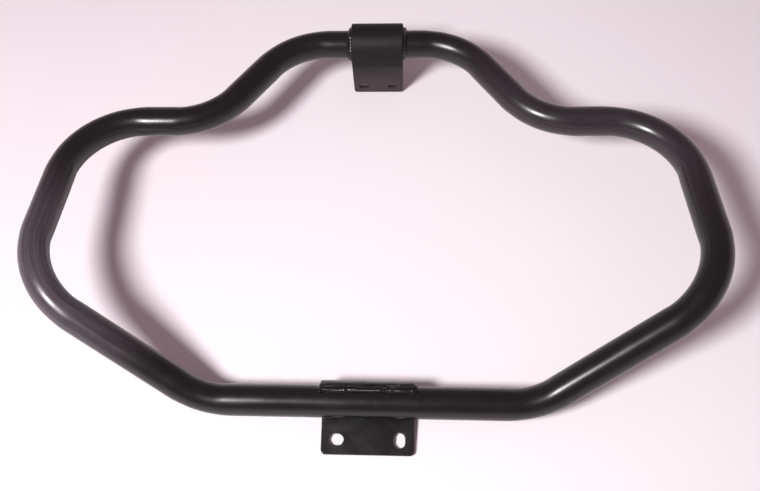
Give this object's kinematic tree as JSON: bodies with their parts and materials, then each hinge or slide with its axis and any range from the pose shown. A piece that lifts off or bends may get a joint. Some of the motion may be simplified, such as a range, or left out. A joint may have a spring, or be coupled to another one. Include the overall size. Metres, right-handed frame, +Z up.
{
  "type": "motorcycle crash bar",
  "caption": "Black powder-coated steel crash bar for a motorcycle: a closed lobed loop of round tube with a welded saddle bracket above and a folded, slotted plate below.",
  "frame": {"origin": "on the ground, under the middle of the box, as the guard lies", "axes": "+X across the guard, from the slotted side of the upper bracket to the side with the round hole; +Y from the folded plate to the saddle bracket; +Z up from the ground"},
  "size_m": [0.6952, 0.4796, 0.1231],
  "materials": {
    "frame_coat": "satin black powder coat",
    "bracket_coat": "satin black powder coat on cut and folded plate",
    "bead_coat": "satin black powder coat over rippled weld metal"
  },
  "bodies": {
    "root": {"main_tube": "frame_coat", "closing_weld": "frame_coat", "upper_bracket": "bracket_coat", "upper_weld_left": "bead_coat", "upper_weld_right": "bead_coat", "lower_bracket": "bracket_coat", "fold_weld_left": "bead_coat", "fold_weld_middle": "bead_coat", "fold_weld_right": "bead_coat", "plate_weld_left": "bead_coat", "plate_weld_middle": "bead_coat", "plate_weld_right": "bead_coat"}
  },
  "joints": []
}
